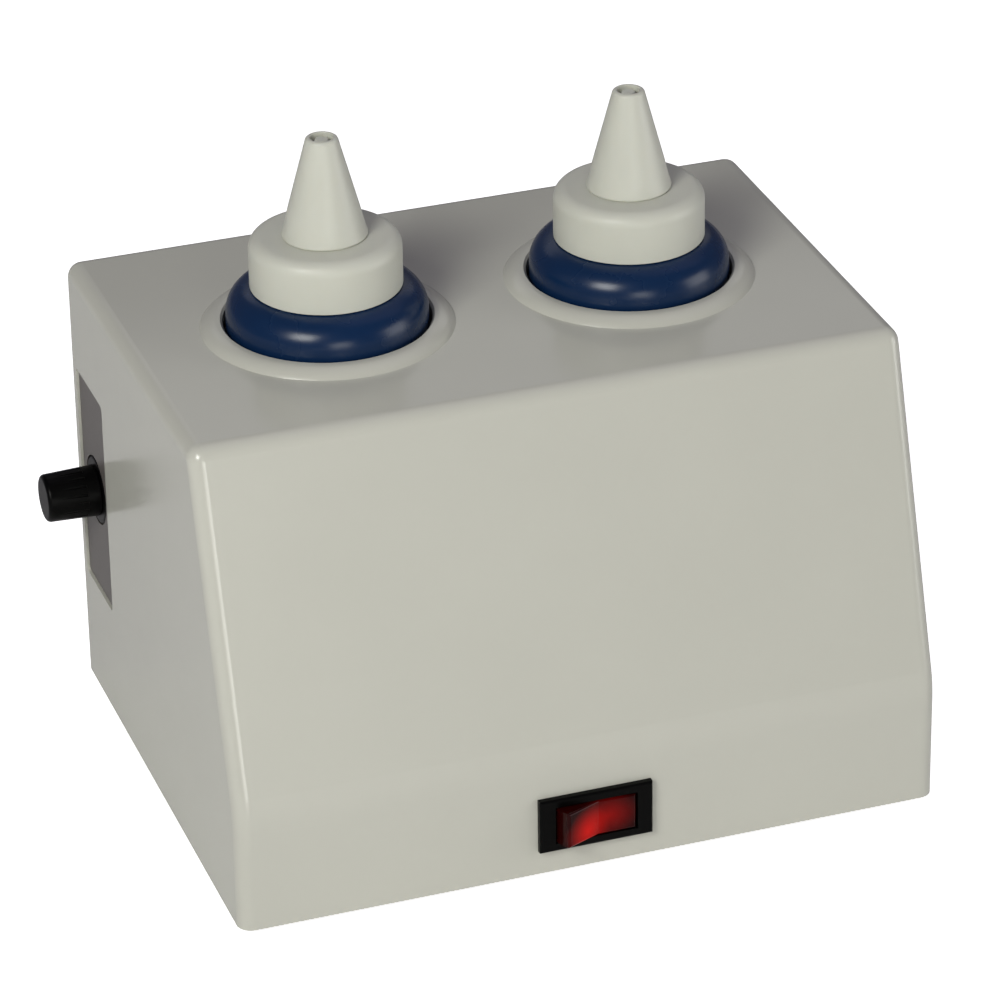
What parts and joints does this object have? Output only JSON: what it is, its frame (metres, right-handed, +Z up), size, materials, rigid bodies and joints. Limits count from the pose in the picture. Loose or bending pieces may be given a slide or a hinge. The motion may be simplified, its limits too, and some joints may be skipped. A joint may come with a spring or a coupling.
{
  "type": "dry bottle warmer",
  "caption": "Desktop dry-heat warmer with a sloped-front housing, round wells that hold dispensing bottles, a lit rocker switch and a side fuse holder.",
  "frame": {"origin": "centre of the whole object's footprint, with its fuse cap, raised rocker end and inlet flange, on the surface it stands on", "axes": "+X to the right seen from the front, +Y towards the back, +Z up; the front with the switch faces -Y"},
  "size_m": [0.2094, 0.1592, 0.1832],
  "materials": {
    "housing_plastic": "glossy moulded light warm grey",
    "collar_plastic": "glossy moulded light warm grey, a little lighter",
    "coated_steel": "mid grey powder coat",
    "foot_rubber": "black moulded rubber",
    "zinc_fasteners": "bright zinc plate",
    "brass_contacts": "plain stamped brass",
    "nickel_contacts": "nickel plate",
    "black_plastic": "black moulded, half gloss",
    "aluminium": "drawn aluminium, satin",
    "rocker_lens": "translucent red, lit from behind",
    "lamp_glass": "clear glass",
    "heater_silicone": "brick red silicone, matte",
    "insulation_felt": "off-white needled felt",
    "bottle_plastic": "glossy navy blue polyethylene",
    "liner_foam": "white foam",
    "cap_plastic": "natural white polyethylene, satin",
    "block_plastic": "ivory nylon",
    "wire_brown": "brown insulation",
    "wire_blue": "blue insulation",
    "wire_green": "green and yellow insulation",
    "wire_white": "white silicone insulation"
  },
  "bodies": {
    "housing": {"base_plate": "coated_steel", "base_screws": "zinc_fasteners", "block_screws": "zinc_fasteners", "collar_screws": "zinc_fasteners", "earth_nut": "zinc_fasteners", "earth_stud": "zinc_fasteners", "earth_tag": "nickel_contacts", "foot_nuts": "zinc_fasteners", "foot_screws": "zinc_fasteners", "fuse_holder_body": "black_plastic", "fuse_holder_nut": "black_plastic", "fuse_spring": "nickel_contacts", "fuse_tags": "brass_contacts", "heater_band_left": "heater_silicone", "heater_band_right": "heater_silicone", "heater_leads": "wire_white", "housing_cover": "housing_plastic", "inlet_body": "black_plastic", "inlet_nuts": "zinc_fasteners", "inlet_pins": "nickel_contacts", "inlet_screws": "zinc_fasteners", "insulation_sleeve_left": "insulation_felt", "insulation_sleeve_right": "insulation_felt", "rubber_feet": "foot_rubber", "side_plate": "coated_steel", "side_plate_screws": "zinc_fasteners", "switch_body": "black_plastic", "switch_lamp": "lamp_glass", "switch_tags": "brass_contacts", "terminal_block": "block_plastic", "terminal_inserts": "brass_contacts", "terminal_screws": "zinc_fasteners", "thermostat_body_left": "black_plastic", "thermostat_body_right": "black_plastic", "thermostat_cap_left": "aluminium", "thermostat_cap_right": "aluminium", "thermostat_screws": "zinc_fasteners", "thermostat_tags": "brass_contacts", "well_collar_left": "collar_plastic", "well_collar_right": "collar_plastic", "well_cup_left": "aluminium", "well_cup_right": "aluminium", "wire_earth": "wire_green", "wires_live": "wire_brown", "wires_neutral": "wire_blue"},
    "rocker": {"rocker": "rocker_lens"},
    "fuse": {"fuse_end_caps": "nickel_contacts", "fuse_glass": "lamp_glass", "fuse_element": "nickel_contacts"},
    "fuse_cap": {"fuse_cap": "black_plastic"},
    "bottle_left": {"bottle_left": "bottle_plastic"},
    "cap_liner_left": {"cap_liner_left": "liner_foam"},
    "cap_left": {"screw_cap_left": "cap_plastic"},
    "spout_left": {"spout_left": "cap_plastic"},
    "bottle_right": {"bottle_right": "bottle_plastic"},
    "cap_liner_right": {"cap_liner_right": "liner_foam"},
    "cap_right": {"screw_cap_right": "cap_plastic"},
    "spout_right": {"spout_right": "cap_plastic"}
  },
  "joints": [
    {"name": "rocker_tilt", "type": "hinge", "parent": "housing", "child": "rocker", "pos_m": [0.0072, -0.07321, 0.01795], "axis": [0, 0, -1], "range_deg": [0, 22]},
    {"name": "fuse_pull", "type": "slide", "parent": "housing", "child": "fuse", "axis": [-1, 0, 0], "range_m": [0, 0.035]},
    {"name": "fuse_cap_turn", "type": "hinge", "parent": "fuse", "child": "fuse_cap", "pos_m": [-0.0968, 0.05709, 0.06795], "axis": [1, 0, 0], "range_deg": [0, 90]},
    {"name": "bottle_lift_left", "type": "slide", "parent": "housing", "child": "bottle_left", "axis": [0, 0, 1], "range_m": [0, 0.13]},
    {"name": "cap_rise_left", "type": "slide", "parent": "bottle_left", "child": "cap_liner_left", "axis": [0, 0, 1], "range_m": [0, 0.00645]},
    {"name": "cap_turn_left", "type": "hinge", "parent": "cap_liner_left", "child": "cap_left", "pos_m": [-0.0353, 0.01299, 0.1494], "axis": [0, 0, 1], "range_deg": [0, 540]},
    {"name": "spout_pull_left", "type": "slide", "parent": "cap_left", "child": "spout_left", "axis": [0, 0, 1], "range_m": [0, 0.004]},
    {"name": "bottle_lift_right", "type": "slide", "parent": "housing", "child": "bottle_right", "axis": [0, 0, 1], "range_m": [0, 0.13]},
    {"name": "cap_rise_right", "type": "slide", "parent": "bottle_right", "child": "cap_liner_right", "axis": [0, 0, 1], "range_m": [0, 0.00645]},
    {"name": "cap_turn_right", "type": "hinge", "parent": "cap_liner_right", "child": "cap_right", "pos_m": [0.0497, 0.01299, 0.1494], "axis": [0, 0, 1], "range_deg": [0, 540]},
    {"name": "spout_pull_right", "type": "slide", "parent": "cap_right", "child": "spout_right", "axis": [0, 0, 1], "range_m": [0, 0.004]}
  ],
  "couplings": [
    {"joint": "cap_rise_left", "follows": "cap_turn_left", "m_per_rad": 0.00067323},
    {"joint": "cap_rise_right", "follows": "cap_turn_right", "m_per_rad": 0.00067323}
  ]
}
